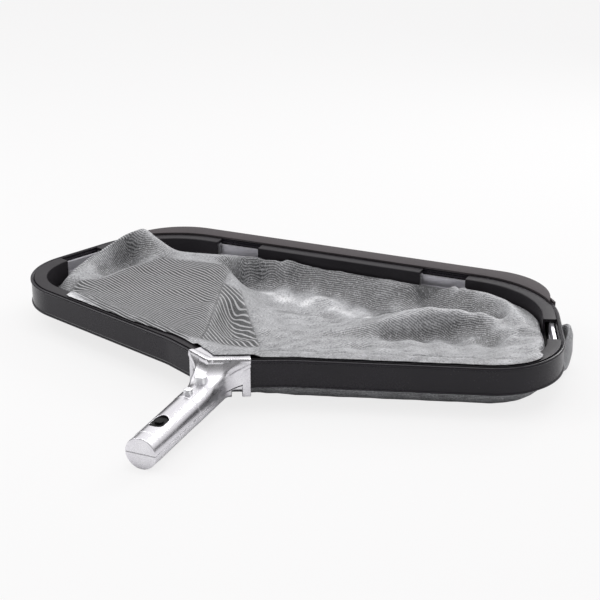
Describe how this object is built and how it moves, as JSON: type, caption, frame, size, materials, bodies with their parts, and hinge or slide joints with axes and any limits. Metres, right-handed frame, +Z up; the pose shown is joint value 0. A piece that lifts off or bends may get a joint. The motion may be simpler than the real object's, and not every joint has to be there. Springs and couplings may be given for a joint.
{
  "type": "leaf skimmer net",
  "caption": "Pool leaf skimmer head: a black hoop frame with a scoop lip and a mesh bag, on a split cast handle whose shank snaps into a telescopic pole.",
  "frame": {"origin": "bottom centre of the head's box, on the floor that the bag and the shank's end rest on", "axes": "+Y from the pole towards the scoop lip, +X along the width of the hoop, +Z up"},
  "size_m": [0.5402, 0.4352, 0.0656],
  "materials": {
    "frame_plastic": "satin moulded black plastic",
    "lip_plastic": "matt soft-touch dark grey plastic",
    "bar_aluminium": "bare flat bar",
    "net_fabric": "grey polyester mesh",
    "cast_aluminium": "tumbled and polished casting",
    "nut_aluminium": "bright turned",
    "steel_fasteners": "zinc plated",
    "spring_steel": "blackened spring strip",
    "button_plastic": "black moulded plastic"
  },
  "bodies": {
    "head": {"rim_frame": "frame_plastic", "hoop_bar": "bar_aluminium", "bar_screws": "steel_fasteners", "retainer_front_right": "frame_plastic", "retainer_front_left": "frame_plastic", "retainer_rear_right": "frame_plastic", "retainer_rear_left": "frame_plastic", "retainer_rear": "frame_plastic", "scoop_lip": "lip_plastic", "net_hem": "net_fabric", "net_bag": "net_fabric", "handle_upper": "cast_aluminium", "handle_lower": "cast_aluminium", "clamp_bolt": "steel_fasteners", "clamp_nut": "nut_aluminium", "shank_screw": "steel_fasteners", "shank_nut": "nut_aluminium", "clip_bend": "spring_steel"},
    "top_lock": {"clip_leg_top": "spring_steel", "lock_button_top": "button_plastic"},
    "bottom_lock": {"clip_leg_bottom": "spring_steel", "lock_button_bottom": "button_plastic"}
  },
  "joints": [
    {"name": "top_lock_press", "type": "hinge", "parent": "head", "child": "top_lock", "pos_m": [0, -0.1513, 0.02076], "axis": [1, 0, 0], "range_deg": [0, 4.4], "stiffness_Nm_per_rad": 1.5, "springref_deg": -2.86},
    {"name": "bottom_lock_press", "type": "hinge", "parent": "head", "child": "bottom_lock", "pos_m": [0, -0.15097, 0.01277], "axis": [-1, 0, 0], "range_deg": [0, 4.4], "stiffness_Nm_per_rad": 1.5, "springref_deg": -2.86}
  ]
}
